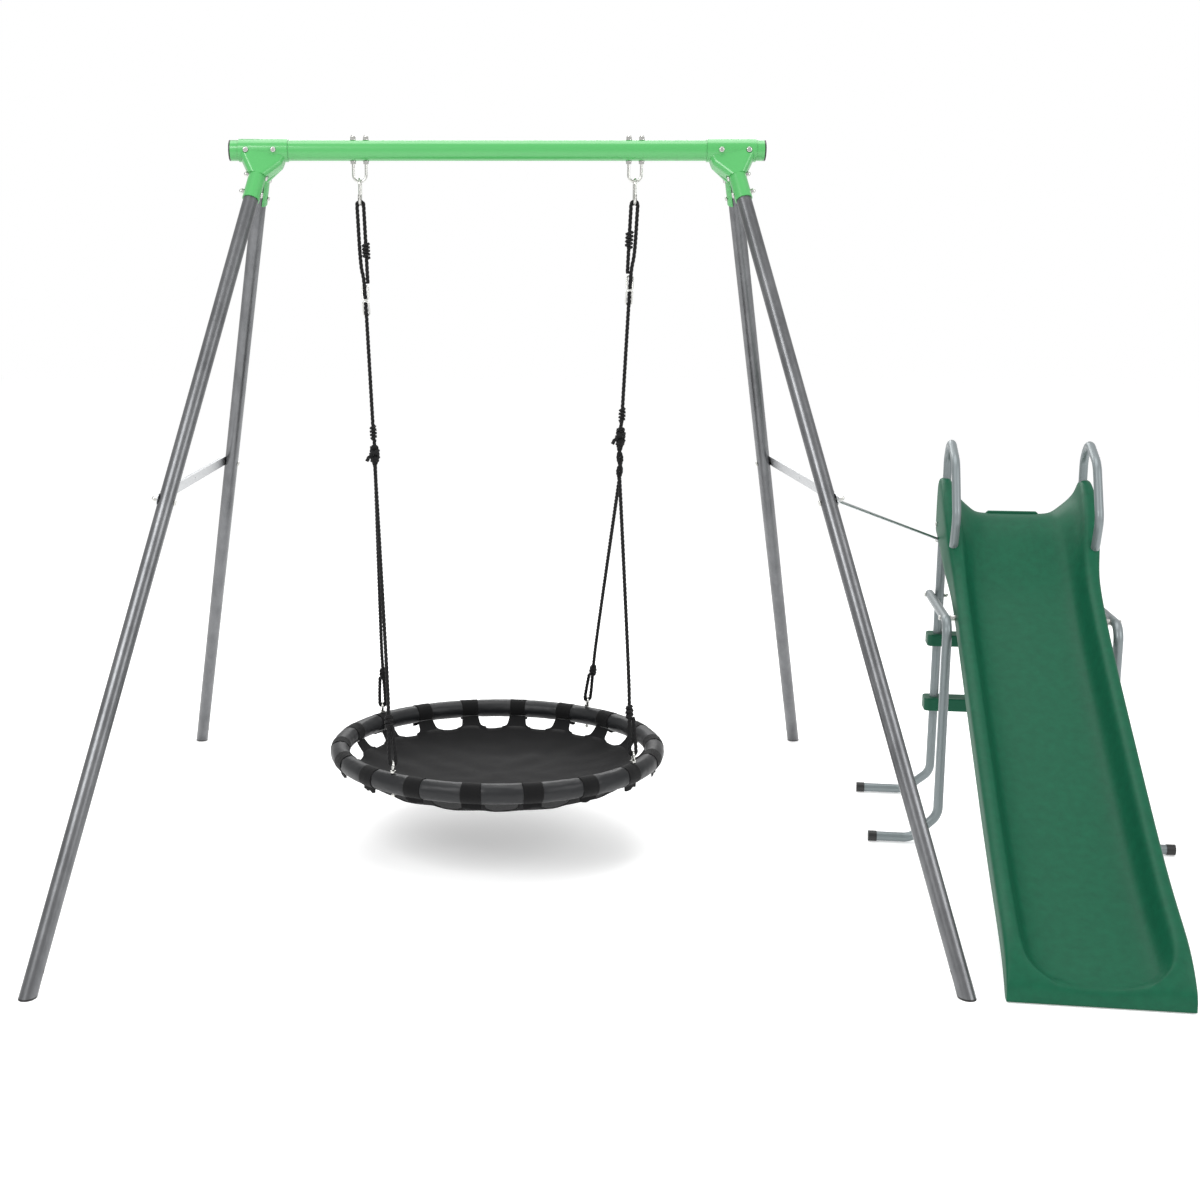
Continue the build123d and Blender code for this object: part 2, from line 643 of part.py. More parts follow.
def chute_side(thick):
    """Corners of the chute's right half, thick above the middle of its wall."""
    lean = (WALL_TOP_HALF - FLOOR_HALF) / WALL_RISE
    shift = thick * (hypot(1, lean) - lean)
    return [
        (FLOOR_HALF - shift, thick),
        (WALL_TOP_HALF - shift, WALL_RISE + thick),
        (FLANGE_HALF + thick, WALL_RISE + thick),
        (FLANGE_HALF + thick, WALL_RISE - SKIRT),
    ]


upper_side = chute_side(CHUTE_WALL / 2)
lower_side = chute_side(-CHUTE_WALL / 2)
right_half = upper_side + lower_side[::-1]
section = make_face(Polyline(*right_half, *[(-x, y) for x, y in reversed(right_half)], close=True))
for (x, y), corner_radius in (
    (upper_side[0], 27),
    (lower_side[0], 33),
    (upper_side[1], 8),
    (lower_side[1], 3),
    (upper_side[2], 12),
    (lower_side[2], 6),
):
    corners = [v for v in section.vertices() if abs(abs(v.X) - x) < 0.01 and abs(v.Y - y) < 0.01]
    section = fillet(corners, corner_radius)
section_plane = Plane(origin=chute_path @ 0, x_dir=(1, 0, 0), z_dir=chute_path % 0)
chute = sweep(section_plane * section, chute_path)
chute -= Pos(0, EXIT_Y - 5, 0) * Box(600, 100, 600, align=(Align.CENTER, Align.MAX, Align.CENTER))

# the foot of the chute is closed by a lip that stands on the ground
chute += Pos(0, EXIT_Y, 0) * Box(2 * FLOOR_HALF, 10, EXIT_Z + 2, align=(Align.CENTER, Align.CENTER, Align.MIN))
for side in (-1, 1):
    width = FLANGE_HALF - FLOOR_HALF + 12
    chute += Pos(side * (FLANGE_HALF + 3 - width / 2), EXIT_Y, 0) * Box(
        width, 10, EXIT_Z + WALL_RISE - 8, align=(Align.CENTER, Align.CENTER, Align.MIN)
    )
    # an ear on each side of the platform holds the ladder rail and the handrail
    ear = Polyline(
        (PLATFORM_BACK, 890),
        (PLATFORM_BACK, EAR_TOP),
        (436, EAR_TOP),
        (345, 1014),
        (262, 940),
        (190, 800),
        (212, 775),
        (300, 878),
        close=True,
    )
    ear_face = Plane.YZ * make_face(ear)
    chute += Pos(side * EAR_MIDDLE, 0, 0) * extrude(ear_face, EAR_HALF, both=True)
chute += Pos(0, PLATFORM_BACK - 6, PLATFORM_Z + 6) * Box(170, 12, 14)
chute -= Pos(0, 425, PLATFORM_Z + 3) * Box(130, 36, 4)


def on_rail(z):
    share = (z - RAIL_BEND[1]) / (RAIL_TOP[1] - RAIL_BEND[1])
    return RAIL_BEND[0] + share * (RAIL_TOP[0] - RAIL_BEND[0])


def foot_cap(end, side):
    """A cap over a foot tube's open end."""
    end = Vector(*end)
    out = AXIS_X * side
    outer = rod(end - out * 22, end + out * 3, TUBE_RADIUS + 1.8)
    return outer - rod(end - out * 23, end, TUBE_RADIUS + 0.1)


def spigot(start, end):
    """The reduced end of a lower tube, pushed up inside the tube above."""
    start, end = Vector(*start), Vector(*end)
    below = start - (end - start).normalized() * 3
    return pipe(below, end, TUBE_RADIUS - TUBE_WALL - 0.2, 1.5)


def slide_bolt(start, end, side):
    """A bolt along X from its head outside to a domed nut inside."""
    out = AXIS_X * side
    start, end = Vector(*start), Vector(*end)
    slide_bolts.append(button_bolt(start + out * 0.1, end - out * 8))
    acorn_nuts.append(slide_frame * acorn_nut(end - out * 0.1, -out))
    return rod(start + out * 20, end - out * 20, HOLE_RADIUS)


slide_bolts = []
slide_caps = []
spacers = []
cuts = []
rails = {}
for side, side_name in ((-1, "left"), (1, "right")):
    rail_path = FilletPolyline(
        (side * HANDRAIL_X, 456, EAR_TOP - 60),
        (side * HANDRAIL_X, 458, EAR_TOP + 62),
        (side * HANDRAIL_X, 405, EAR_TOP + 126),
        (side * HANDRAIL_X, 272, EAR_TOP + 68),
        (side * HANDRAIL_X, 186, EAR_TOP - 92),
        (side * HANDRAIL_X, 215, EAR_TOP - 172),
        (side * HANDRAIL_X, 248, EAR_TOP - 212),
        radius=[52, 60, 85, 62, 30],
    )
    rails[f"{side_name}_handrail"] = swept_pipe(rail_path, HANDRAIL_RADIUS, TUBE_WALL)
    chute -= swept(rail_path, HANDRAIL_RADIUS + 0.3)

    x = side * RAIL_X
    top = (x, *RAIL_TOP)
    split = (x, on_rail(RAIL_SPLIT_Z), RAIL_SPLIT_Z)
    rails[f"{side_name}_rail_upper"] = pipe(split, top, TUBE_RADIUS, TUBE_WALL)
    chute -= rod((x, on_rail(800), 800), top, TUBE_RADIUS + 0.3)
    tip = (side * FOOT_TIP_X, 503.0, FOOT_AXIS_Z)
    lower_path = FilletPolyline(
        (x, on_rail(RAIL_SPLIT_Z - 0.2), RAIL_SPLIT_Z - 0.2),
        (x, *RAIL_BEND),
        (side * (RAIL_X + 75), 503.0, FOOT_AXIS_Z),
        tip,
        radius=[60, 60],
    )
    lower = swept_pipe(lower_path, TUBE_RADIUS, TUBE_WALL + 1)
    rails[f"{side_name}_rail_lower"] = lower + spigot(split, (x, on_rail(RAIL_SPLIT_Z + 50), RAIL_SPLIT_Z + 50))
    slide_caps.append(foot_cap(tip, side))

    x = side * SUPPORT_X
    knee_path = FilletPolyline(
        (x, on_rail(SUPPORT_TOP_Z) + 18, SUPPORT_TOP_Z),
        (x, 0, SUPPORT_TOP_Z),
        (x, 0, SUPPORT_SPLIT_Z + 0.2),
        radius=48,
    )
    rails[f"{side_name}_support_upper"] = swept_pipe(knee_path, TUBE_RADIUS, TUBE_WALL)
    tip = (side * FOOT_TIP_X, 0, FOOT_AXIS_Z)
    leg_path = FilletPolyline(
        (x, 0, SUPPORT_SPLIT_Z),
        (x, 0, 90),
        (side * (SUPPORT_X + 75), 0, FOOT_AXIS_Z),
        tip,
        radius=[60, 60],
    )
    lower = swept_pipe(leg_path, TUBE_RADIUS, TUBE_WALL + 1)
    rails[f"{side_name}_support_lower"] = lower + spigot((x, 0, SUPPORT_SPLIT_Z), (x, 0, SUPPORT_SPLIT_Z + 50))
    slide_caps.append(foot_cap(tip, side))

    # support to ladder rail, support to chute, ladder rail to ear
    y, z = on_rail(SUPPORT_TOP_Z), SUPPORT_TOP_Z
    outer, inner = side * (SUPPORT_X + TUBE_RADIUS + 0.1), side * (RAIL_X - TUBE_RADIUS - 0.1)
    cuts.append(slide_bolt((outer, y, z), (inner, y, z), side))
    y, z = CHUTE_BOLT_Y, SUPPORT_TOP_Z
    cuts.append(slide_bolt((outer, y, z), (side * (FLANGE_HALF - 3.1), y, z), side))
    gap = (side * (FLANGE_HALF + 3.2), side * (SUPPORT_X - TUBE_RADIUS - 0.2))
    spacers.append(rod((gap[0], y, z), (gap[1], y, z), 10) - rod((gap[0], y, z), (gap[1], y, z), HOLE_RADIUS))
    y, z = on_rail(EAR_BOLT_Z), EAR_BOLT_Z
    ear_faces = (side * (EAR_MIDDLE + EAR_HALF), side * (EAR_MIDDLE - EAR_HALF))
    cuts.append(slide_bolt((ear_faces[0], y, z), (ear_faces[1], y, z), side))

# tie rod from the front right leg's brace bolt to the left ladder rail
front_right = LEGS["front_right"]
leg_end = front_right.at(BRACE_AT) + front_right.outward * (LEG_RADIUS + 4.4 + TIE_PLATE / 2)
rail_side = RAIL_X + TUBE_RADIUS + 0.2 + TIE_PLATE / 2
tie_y = on_rail(TIE_BOLT_Z)
rail_end = (slide_frame * Pos(-rail_side, tie_y, TIE_BOLT_Z)).position
slide_x = (slide_frame * Pos(1, 0, 0)).position - slide_frame.position
run = rail_end - leg_end
leg_way = (run - front_right.outward * run.dot(front_right.outward)).normalized()
rail_way = (slide_x * run.dot(slide_x) - run).normalized()
TIE_RADIUS = 4.5
leg_lift = front_right.outward * 1.6
rail_lift = slide_x * -1.6
tie_path = FilletPolyline(
    leg_end + leg_lift + leg_way * 11,
    leg_end + leg_lift + leg_way * 24,
    rail_end + rail_lift + rail_way * 24,
    rail_end + rail_lift + rail_way * 11,
    radius=14,
)
tie = swept(tie_path, TIE_RADIUS)
for middle, way, normal in ((leg_end, leg_way, front_right.outward), (rail_end, rail_way, slide_x)):
    plate = Plane(origin=middle - normal * (TIE_PLATE / 2), x_dir=way, z_dir=normal)
    tie += plate * (extrude(Pos(6, 0) * SlotOverall(30, 17), TIE_PLATE))
    tie -= rod(middle - normal * 9, middle + normal * 9, HOLE_RADIUS)
add("tie_rod", tie)
cuts.append(
    slide_bolt(
        (-(rail_side + TIE_PLATE / 2), tie_y, TIE_BOLT_Z), (-(RAIL_X - TUBE_RADIUS - 0.1), tie_y, TIE_BOLT_Z), -1
    )
)

for cut in cuts:
    chute -= cut
    for rail_name in rails:
        rails[rail_name] -= cut
add("slide_chute", slide_frame * chute)
for rail_name, shape in rails.items():
    add(rail_name, slide_frame * shape)
add("slide_foot_caps", *[slide_frame * cap for cap in slide_caps])
add("slide_bolts", *[slide_frame * bolt for bolt in slide_bolts])
steps = []
for z, height in ((326.0, 42.0), (540.0, 38.0)):
    step = Pos(0, on_rail(z), z) * Box(2 * STEP_HALF, STEP_DEPTH, height)
    step = fillet(step.edges().filter_by(Axis.Z), 14)
    step = fillet(step.edges().group_by(Axis.Z)[-1] + step.edges().group_by(Axis.Z)[0], 5)
    for side in (-1, 1):
        x = side * RAIL_X
        step -= rod((x, on_rail(z - 60), z - 60), (x, on_rail(z + 60), z + 60), TUBE_RADIUS + 0.3)
    for groove in (-16, 0, 16):
        step -= Pos(0, on_rail(z) + groove, z + height / 2) * Box(2 * RAIL_X - 60, 5, 4)
    steps.append(slide_frame * step)
add("steps", *steps)

add("acorn_nuts", *acorn_nuts)
add("washers", *washers, *[slide_frame * spacer for spacer in spacers])

# ---------------------------------------------------------------- one file for each node
os.makedirs("parts", exist_ok=True)
for name, shape in nodes.items():
    placed = Pos(ORIGIN_SHIFT[0], ORIGIN_SHIFT[1], 0) * shape
    export_step(placed, f"parts/{name}.step")
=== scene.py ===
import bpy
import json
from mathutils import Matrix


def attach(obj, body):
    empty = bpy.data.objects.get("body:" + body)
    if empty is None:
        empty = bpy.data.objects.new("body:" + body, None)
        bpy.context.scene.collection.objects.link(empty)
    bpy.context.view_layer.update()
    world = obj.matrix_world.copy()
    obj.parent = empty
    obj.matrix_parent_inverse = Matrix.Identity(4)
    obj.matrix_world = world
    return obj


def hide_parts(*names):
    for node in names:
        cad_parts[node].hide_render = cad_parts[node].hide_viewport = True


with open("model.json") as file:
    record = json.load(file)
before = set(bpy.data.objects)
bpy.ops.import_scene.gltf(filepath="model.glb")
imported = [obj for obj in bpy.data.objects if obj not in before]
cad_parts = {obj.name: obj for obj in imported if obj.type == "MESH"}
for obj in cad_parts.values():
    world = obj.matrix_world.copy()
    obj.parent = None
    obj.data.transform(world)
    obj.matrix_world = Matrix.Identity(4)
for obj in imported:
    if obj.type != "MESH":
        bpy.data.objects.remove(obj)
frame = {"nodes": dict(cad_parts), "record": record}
import json
import math

import bpy
from mathutils import Vector, noise

# Lengths are in metres. Points are given from the middle of the crossbeam on the ground, as in the
# CAD source, and SHIFT takes them to the row frame.
SHIFT = Vector((-0.477646, 0.033535, 0.0))
scene = bpy.context.scene
nodes = frame["nodes"]
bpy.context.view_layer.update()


def at(x, y, z):
    return Vector((x, y, z)) + SHIFT


# ---------------------------------------------------------------- materials
def linear(r, g, b):
    """sRGB values from 0 to 255 as linear colour."""
    out = []
    for c in (r, g, b):
        c /= 255
        out.append(c / 12.92 if c <= 0.04045 else ((c + 0.055) / 1.055) ** 2.4)
    return (*out, 1.0)


class Paint:
    """A material with a few helpers to wire noise into its main shader."""

    def __init__(self, name, color, metallic=0.0, roughness=0.5, coat=0.0, specular=0.5):
        self.name = name
        self.material = bpy.data.materials.new(name)
        self.material.use_nodes = True
        self.tree = self.material.node_tree
        self.shader = self.tree.nodes["Principled BSDF"]
        self.set("Base Color", color)
        self.set("Metallic", metallic)
        self.set("Roughness", roughness)
        self.set("Coat Weight", coat)
        self.set("Specular IOR Level", specular)
        self.normal = None

    def set(self, socket, value):
        self.shader.inputs[socket].default_value = value

    def node(self, kind, **values):
        made = self.tree.nodes.new(kind)
        for key, value in values.items():
            made.inputs[key].default_value = value
        return made

    def link(self, out, into):
        self.tree.links.new(out, into)

    def place(self, stretch=(1, 1, 1)):
        where = self.node("ShaderNodeTexCoord")
        mapping = self.node("ShaderNodeMapping", Scale=stretch)
        self.link(where.outputs["Object"], mapping.inputs["Vector"])
        return mapping.outputs["Vector"]

    def noise(self, scale, detail=3.0, rough=0.5, stretch=(1, 1, 1)):
        made = self.node("ShaderNodeTexNoise", Scale=scale, Detail=detail, Roughness=rough)
        self.link(self.place(stretch), made.inputs["Vector"])
        return made.outputs["Fac"]

    def bump(self, height, strength, distance):
        made = self.node("ShaderNodeBump", Strength=strength, Distance=distance)
        self.link(height, made.inputs["Height"])
        if self.normal is not None:
            self.link(self.normal, made.inputs["Normal"])
        self.normal = made.outputs["Normal"]
        self.link(self.normal, self.shader.inputs["Normal"])

    def vary(self, factor, dark, light, low=0.35, high=0.65):
        ramp = self.tree.nodes.new("ShaderNodeValToRGB")
        ramp.color_ramp.elements[0].position = low
        ramp.color_ramp.elements[1].position = high
        ramp.color_ramp.elements[0].color = dark
        ramp.color_ramp.elements[1].color = light
        self.link(factor, ramp.inputs["Fac"])
        self.link(ramp.outputs["Color"], self.shader.inputs["Base Color"])

    def vary_roughness(self, factor, low, high):
        spread = self.node("ShaderNodeMapRange")
        spread.inputs["To Min"].default_value = low
        spread.inputs["To Max"].default_value = high
        self.link(factor, spread.inputs["Value"])
        self.link(spread.outputs["Result"], self.shader.inputs["Roughness"])


def green_powder_coat():
    paint = Paint("green_powder_coat", linear(70, 158, 84), roughness=0.3, coat=0.4)
    paint.bump(paint.noise(900, 2), 0.08, 0.0004)
    return paint


def black_plastic():
    paint = Paint("black_plastic", linear(24, 24, 24), roughness=0.42)
    paint.bump(paint.noise(1200, 2), 0.1, 0.0004)
    return paint


def leg_steel():
    paint = Paint("leg_steel", linear(132, 134, 136), metallic=0.85, roughness=0.34)
    patches = paint.noise(14, 6, 0.7, (1, 1, 0.25))
    paint.vary(patches, linear(92, 93, 95), linear(118, 119, 121), 0.3, 0.7)
    paint.vary_roughness(paint.noise(60, 4), 0.26, 0.42)
    paint.bump(paint.noise(500, 3), 0.05, 0.0004)
    return paint


def brace_steel():
    paint = Paint("brace_steel", linear(180, 182, 184), metallic=0.9, roughness=0.3)
    paint.vary_roughness(paint.noise(80, 4), 0.22, 0.42)
    return paint


def zinc_hardware():
    paint = Paint("zinc_hardware", linear(196, 196, 192), metallic=1.0, roughness=0.2)
    paint.vary_roughness(paint.noise(300, 4), 0.12, 0.34)
    return paint


def slide_plastic():
    paint = Paint("slide_plastic", linear(4, 78, 54), roughness=0.5, specular=0.2)
    paint.vary(paint.noise(40, 7, 0.65), linear(5, 74, 51), linear(8, 84, 58), 0.3, 0.7)
    paint.bump(paint.noise(260, 5, 0.65), 0.16, 0.0008)
    paint.bump(paint.noise(30, 3), 0.12, 0.003)
    return paint


def step_plastic():
    paint = Paint("step_plastic", linear(8, 74, 52), roughness=0.5, specular=0.25)
    paint.bump(paint.noise(260, 4), 0.14, 0.0008)
    return paint


def slide_frame_steel():
    paint = Paint("slide_frame_steel", linear(118, 126, 128), metallic=0.35, roughness=0.36)
    paint.bump(paint.noise(700, 2), 0.06, 0.0004)
    return paint


def rope_fibre():
    paint = Paint("rope", linear(13, 13, 14), roughness=0.66, specular=0.18)
    paint.bump(paint.noise(1400, 3, 0.6, (1, 1, 0.3)), 0.5, 0.0008)
    paint.set("Sheen Weight", 0.08)
    paint.set("Sheen Roughness", 0.5)
    return paint


def rim_steel():
    return Paint("rim_steel", linear(120, 120, 120), metallic=0.9, roughness=0.4)


def rim_vinyl():
    paint = Paint("rim_vinyl", linear(24, 25, 27), roughness=0.42, specular=0.32)
    paint.bump(paint.noise(420, 4, 0.6), 0.12, 0.0006)
    paint.bump(paint.noise(16, 3), 0.22, 0.006)
    return paint


def woven_cloth(name, shade, threads):
    """A cloth of crossed waves with softer, wider unevenness under them."""
    paint = Paint(name, linear(shade, shade, shade + 1), roughness=0.8, specular=0.15)
    wave_x = paint.node("ShaderNodeTexWave", Scale=threads, Distortion=0.4)
    wave_y = paint.node("ShaderNodeTexWave", Scale=threads, Distortion=0.4)
    wave_y.bands_direction = "Y"
    place = paint.place()
    paint.link(place, wave_x.inputs["Vector"])
    paint.link(place, wave_y.inputs["Vector"])
    both = paint.node("ShaderNodeMath")
    both.operation = "ADD"
    paint.link(wave_x.outputs["Fac"], both.inputs[0])
    paint.link(wave_y.outputs["Fac"], both.inputs[1])
    paint.bump(both.outputs["Value"], 0.25, 0.0006)
    paint.bump(paint.noise(22, 4), 0.2, 0.004)
    paint.set("Sheen Weight", 0.06)
    return paint


def make_paints():
    """Every finish by the name that the record gives its slot."""
    made = (
        green_powder_coat(),
        black_plastic(),
        leg_steel(),
        brace_steel(),
        zinc_hardware(),
        slide_plastic(),
        step_plastic(),
        slide_frame_steel(),
        rope_fibre(),
        rim_steel(),
        rim_vinyl(),
        woven_cloth("strap_webbing", 12, 1500 / 6.0),
        woven_cloth("mat_fabric", 17, 1300 / 6.0),
    )
    return {paint.name: paint.material for paint in made}


paints = make_paints()
for part in frame["record"]["subparts"]:
    cad = nodes[part["node"]]
    cad.data.materials.clear()
    cad.data.materials.append(paints[part["material_slot"]])


def finish_piece(obj, slot, body, *replaced):
    """Give a new piece its finish and the body it rides on, and hide the CAD nodes it stands for."""
    obj.data.materials.append(paints[slot])
    if replaced:
        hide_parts(*replaced)
    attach(obj, body)
    return obj


def mesh_object(name, verts, faces, smooth=True):
    mesh = bpy.data.meshes.new(name)
    mesh.from_pydata([tuple(v) for v in verts], [], faces)
    mesh.update()
    if smooth:
        mesh.shade_smooth()
    obj = bpy.data.objects.new(name, mesh)
    scene.collection.objects.link(obj)
    return obj


# ---------------------------------------------------------------- rope
ROPE_DIAMETER = 0.010
LAY = 0.038
CROWN_RADIUS = ROPE_DIAMETER * 0.57
STRAND_SHARE = 0.53
STRANDS = 3
ROUTE_STEP = 0.0030
PATH_STEP = 0.002


def route_line(name, points):
    """The smooth line of a rope: a NURBS spline over the route's points, read back from Blender."""
    data = bpy.data.curves.new(name, "CURVE")
    data.dimensions = "3D"
    data.resolution_u = 24
    spline = data.splines.new("NURBS")
    spline.points.add(len(points) - 1)
    for point, place in zip(spline.points, points):
        point.co = (*place, 1.0)
    spline.order_u = 3
    spline.use_endpoint_u = True
    carrier = bpy.data.objects.new(name, data)
    scene.collection.objects.link(carrier)
    bpy.context.view_layer.update()
    mesh = bpy.data.meshes.new_from_object(carrier)
    line = [v.co.copy() for v in mesh.vertices]
    bpy.data.objects.remove(carrier)
    bpy.data.meshes.remove(mesh)
    return line


def evenly(line, step):
    """The same line with its points a fixed step apart."""
    out = [line[0].copy()]
    carried = 0.0
    for a, b in zip(line, line[1:]):
        run = (b - a).length
        while run > 1e-9 and carried + run >= step:
            share = (step - carried) / run
            a = a.lerp(b, share)
            out.append(a.copy())
            run = (b - a).length
            carried = 0.0
        carried += run
    if (out[-1] - line[-1]).length > step * 0.2:
        out.append(line[-1].copy())
    return out


def frames_along(line):
    """A direction and two directions square to it at each point, turning as little as possible."""
    side = Vector((0.31, 0.94, 0.13))
    frames = []
    for i, point in enumerate(line):
        ahead = line[min(i + 1, len(line) - 1)] - line[max(i - 1, 0)]
        ahead.normalize()
        side = (side - ahead * side.dot(ahead)).normalized()
        frames.append((point, ahead, side.copy(), ahead.cross(side)))
    return frames


def tube_mesh(verts, faces, line, radius, around=10):
    """Add a closed round tube along a line."""
    start = len(verts)
    frames = frames_along(line)
    for point, _, a, b in frames:
        for k in range(around):
            turn = 2 * math.pi * k / around
            verts.append(point + a * (radius * math.cos(turn)) + b * (radius * math.sin(turn)))
    for i in range(len(frames) - 1):
        for k in range(around):
            n = (k + 1) % around
            low = start + i * around
            faces.append((low + k, low + n, low + around + n, low + around + k))
    for i, flip in ((0, True), (len(frames) - 1, False)):
        middle = len(verts)
        verts.append(frames[i][0].copy())
        ring = start + i * around
        for k in range(around):
            n = (k + 1) % around
            pair = (ring + n, ring + k) if flip else (ring + k, ring + n)
            faces.append((*pair, middle))


def add_strands(verts, faces, line, lay=LAY, radius=CROWN_RADIUS):
    """Strands twisted round a line, whose crowns stand a little proud of the rope's nominal size."""
    frames = frames_along(line)
    strand = radius * STRAND_SHARE
    orbit = radius - strand
    for s in range(STRANDS):
        path = []
        travelled = 0.0
        for i, (point, _, a, b) in enumerate(frames):
            if i:
                travelled += (point - frames[i - 1][0]).length
            turn = 2 * math.pi * (travelled / lay + s / STRANDS)
            path.append(point + a * (orbit * math.cos(turn)) + b * (orbit * math.sin(turn)))
        tube_mesh(verts, faces, path, strand, 9)


def twisted_rope(name, points, node, body):
    line = evenly(route_line(name + "_line", [at(*p) for p in points]), ROUTE_STEP)
    verts, faces = [], []
    add_strands(verts, faces, line)
    rope = mesh_object(name, verts, faces)
    finish_piece(rope, "rope", body, node)
    return rope, line


def length_of(line):
    return sum((b - a).length for a, b in zip(line, line[1:]))


def stretch_of(line, low, high):
    """The part of a line between two distances from its start."""
    out = []
    gone = 0.0
    for i, point in enumerate(line):
        if i:
            gone += (point - line[i - 1]).length
        if low <= gone <= high:
            out.append(point)
    return out


WOUND_STEP = 0.0022
WOUND_LAY = 0.03
# a crossed knot's second winding lies a little inside the first and starts a part turn on
INNER_REACH = 0.86
INNER_START = 0.9


def wound(name, line, turns, outer, body, bulge=0.0, crossed=False, rope_radius=0.0042, squeeze=1.0):
    """Turns of rope wound round a stretch of line, straight for a coil or bulging for a knot."""
    verts, faces = [], []
    for hand in (1, -1) if crossed else (1,):
        frames = frames_along(evenly(line, 0.0004))
        path = []
        last = len(frames) - 1
        for i, (point, _, a, b) in enumerate(frames):
            share = i / last
            reach = (outer - rope_radius) * (1 - bulge + bulge * math.sin(math.pi * share) ** 0.7)
            reach *= 1.0 if hand == 1 else INNER_REACH
            turn = hand * 2 * math.pi * turns * share + (INNER_START if hand == -1 else 0.0)
            path.append(point + a * (reach * math.cos(turn)) + b * (reach * squeeze * math.sin(turn)))
        add_strands(verts, faces, evenly(path, WOUND_STEP), lay=WOUND_LAY, radius=rope_radius)
    knot = mesh_object(name, verts, faces)
    return finish_piece(knot, "rope", body)


# The routes of the six ropes, each from the knot it leaves to its own tail.
ROUTES = {
    "left_main_rope": [
        (-0.3598, 0, 1.2149), (-0.3735, 0, 1.5316), (-0.3806, 0, 1.6764), (-0.3901, 0, 1.7081),
        (-0.3976, 0, 1.8771), (-0.3980, 0, 1.8847), (-0.3927, 0, 1.8904), (-0.3851, 0, 1.8908),
        (-0.3794, 0, 1.8855), (-0.3790, 0, 1.8779), (-0.3721, 0, 1.7088), (-0.3705, 0, 1.6629),
    ],
    "right_main_rope": [
        (0.3609, 0, 1.2659), (0.3742, 0, 1.5626), (0.3815, 0, 1.7044), (0.3911, 0, 1.7390),
        (0.3976, 0, 1.8770), (0.3980, 0, 1.8847), (0.3928, 0, 1.8904), (0.3851, 0, 1.8908),
        (0.3794, 0, 1.8856), (0.3790, 0, 1.8779), (0.3731, 0, 1.7398), (0.3714, 0, 1.6909),
    ],
    "front_left_seat_rope": [
        (-0.3570, -0.0056, 1.1410), (-0.3098, -0.2670, 0.5702), (-0.3041, -0.3209, 0.4541),
        (-0.3026, -0.3515, 0.3888), (-0.3001, -0.3666, 0.3559), (-0.2996, -0.3697, 0.3493),
        (-0.2941, -0.3709, 0.3446), (-0.2869, -0.3696, 0.3446), (-0.2823, -0.3665, 0.3493),
        (-0.2828, -0.3635, 0.3559), (-0.2858, -0.3484, 0.3888), (-0.2929, -0.3248, 0.4414),
    ],
    "back_left_seat_rope": [
        (-0.3570, 0.0056, 1.1410), (-0.3631, 0.2105, 0.5785), (-0.3606, 0.2544, 0.4582),
        (-0.3573, 0.2792, 0.3906), (-0.3575, 0.2917, 0.3564), (-0.3575, 0.2942, 0.3495),
        (-0.3627, 0.2957, 0.3447), (-0.3700, 0.2955, 0.3447), (-0.3751, 0.2936, 0.3495),
        (-0.3750, 0.2911, 0.3564), (-0.3744, 0.2787, 0.3906), (-0.3710, 0.2589, 0.4451),
    ],
    "front_right_seat_rope": [
        (0.3570, -0.0056, 1.1030), (0.3766, -0.1878, 0.5796), (0.3773, -0.2302, 0.4587),
        (0.3759, -0.2543, 0.3908), (0.3769, -0.2663, 0.3565), (0.3772, -0.2687, 0.3496),
        (0.3825, -0.2698, 0.3447), (0.3897, -0.2690, 0.3447), (0.3947, -0.2667, 0.3496),
        (0.3944, -0.2643, 0.3565), (0.3928, -0.2524, 0.3908), (0.3880, -0.2337, 0.4455),
    ],
    "back_right_seat_rope": [
        (0.3570, 0.0056, 1.1030), (0.3106, 0.2628, 0.5681), (0.3045, 0.3188, 0.4531),
        (0.3028, 0.3506, 0.3884), (0.3002, 0.3664, 0.3558), (0.2996, 0.3695, 0.3492),
        (0.2941, 0.3708, 0.3446), (0.2870, 0.3695, 0.3446), (0.2823, 0.3664, 0.3492),
        (0.2829, 0.3632, 0.3558), (0.2860, 0.3476, 0.3884), (0.2932, 0.3230, 0.4405),
    ],
}

# Each main rope's tail strand: its length, and how far down it the middle of the coil sits.
TAIL_LENGTH = {"left": 0.219, "right": 0.191}
COIL_DROP = {"left": 0.128, "right": 0.097}
COIL_HALF = 0.023

for side in ("left", "right"):
    body = f"{side}_rope"
    name = f"{side}_main_rope"
    rope, line = twisted_rope(f"vis_{name}", ROUTES[name], name, body)
    # the small barrel knot sits on the rope's lower end
    lower_end = stretch_of(line, 0.001, 0.042)
    barrel = wound(f"vis_{side}_barrel_knot", lower_end, 4, 0.0115, body, bulge=0.25)
    # the coil of four turns is wound round the tail strand, which is the last run of the line
    total = length_of(line)
    coil_middle = total - TAIL_LENGTH[side] + COIL_DROP[side]
    coiled = stretch_of(line, coil_middle - COIL_HALF, coil_middle + COIL_HALF)
    coil = wound(f"vis_{side}_coil", coiled, 4.4, 0.0125, body)
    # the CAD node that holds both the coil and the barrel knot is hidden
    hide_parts(f"{side}_rope_knots")


KNOT_OUTER = 0.0180
KNOT_CORE = 0.0085
KNOT_ROPE = 0.0056
TWIST_OUTER = 0.0112


